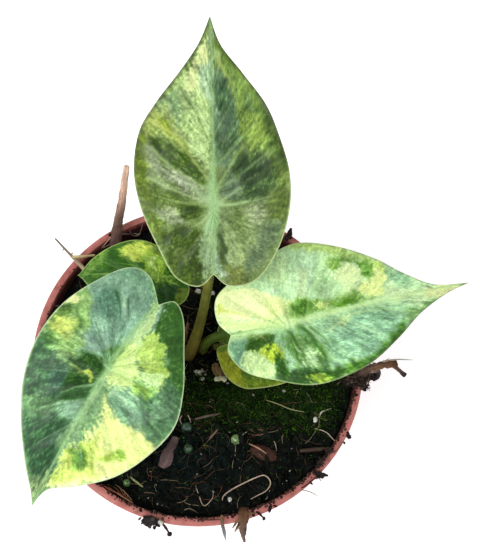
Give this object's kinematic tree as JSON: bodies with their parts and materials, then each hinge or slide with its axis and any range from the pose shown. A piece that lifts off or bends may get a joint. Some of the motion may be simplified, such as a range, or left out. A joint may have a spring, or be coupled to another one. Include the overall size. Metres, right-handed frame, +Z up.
{
  "type": "potted alocasia plant",
  "caption": "Young variegated alocasia: heart-shaped marbled leaves on upright stalks, growing from dark potting mix in a tapered round nursery pot with a rolled rim and drain holes",
  "frame": {"origin": "centre of the flat underside of the pot, which stands on the floor", "axes": "+Z up along the pot's axis; +Y points away from the viewer to the back of the plant, where the tallest leaf points; +X to the viewer's right"},
  "size_m": [0.1505, 0.1421, 0.1957],
  "materials": {
    "pot_plastic": "terracotta-red moulded plastic, satin, dusty",
    "potting_mix": "dark moist bark and coir mix with perlite, prills, fine roots and moss",
    "rootstock": "ringed brown rhizome with pale thick roots",
    "blade_back": "satin leaf, olive and grey green marbling, pale midrib",
    "petiole_back": "smooth olive leaf stalk",
    "blade_right": "satin leaf, green and cream yellow sectors, pale midrib",
    "petiole_right": "smooth dark green leaf stalk",
    "blade_front": "satin leaf, blue green with cream yellow sectors, pale midrib",
    "petiole_front": "smooth green leaf stalk",
    "blade_small_left": "glossy leaf, dark green with yellow patches",
    "petiole_small_left": "smooth thin leaf stalk",
    "blade_small_right": "satin leaf, olive yellow to green",
    "petiole_small_right": "smooth thin leaf stalk",
    "petiole_sheath": "dry fibrous red brown leaf sheath",
    "wooden_stick": "barkless weathered stick, pinkish tan",
    "thorny_twig": "dry straw-coloured twig, grey at its thin end",
    "hanging_twigs": "dark fibrous brown twigs with bits of mix",
    "rim_shred": "fibrous brown bark shred",
    "rim_clod": "dark crumb of mix",
    "bark_front": "weathered purple brown bark chip",
    "bark_right": "red brown bark chip",
    "bark_crown": "brown bark chip"
  },
  "bodies": {
    "root": {"pot": "pot_plastic", "potting_mix": "potting_mix", "rootstock": "rootstock", "blade_back": "blade_back", "petiole_back": "petiole_back", "blade_right": "blade_right", "petiole_right": "petiole_right", "blade_front": "blade_front", "petiole_front": "petiole_front", "blade_small_left": "blade_small_left", "petiole_small_left": "petiole_small_left", "blade_small_right": "blade_small_right", "petiole_small_right": "petiole_small_right", "petiole_sheath": "petiole_sheath", "wooden_stick": "wooden_stick", "thorny_twig": "thorny_twig", "hanging_twigs": "hanging_twigs", "rim_shred": "rim_shred", "rim_clod": "rim_clod", "bark_front": "bark_front", "bark_right": "bark_right", "bark_crown": "bark_crown"}
  },
  "joints": []
}
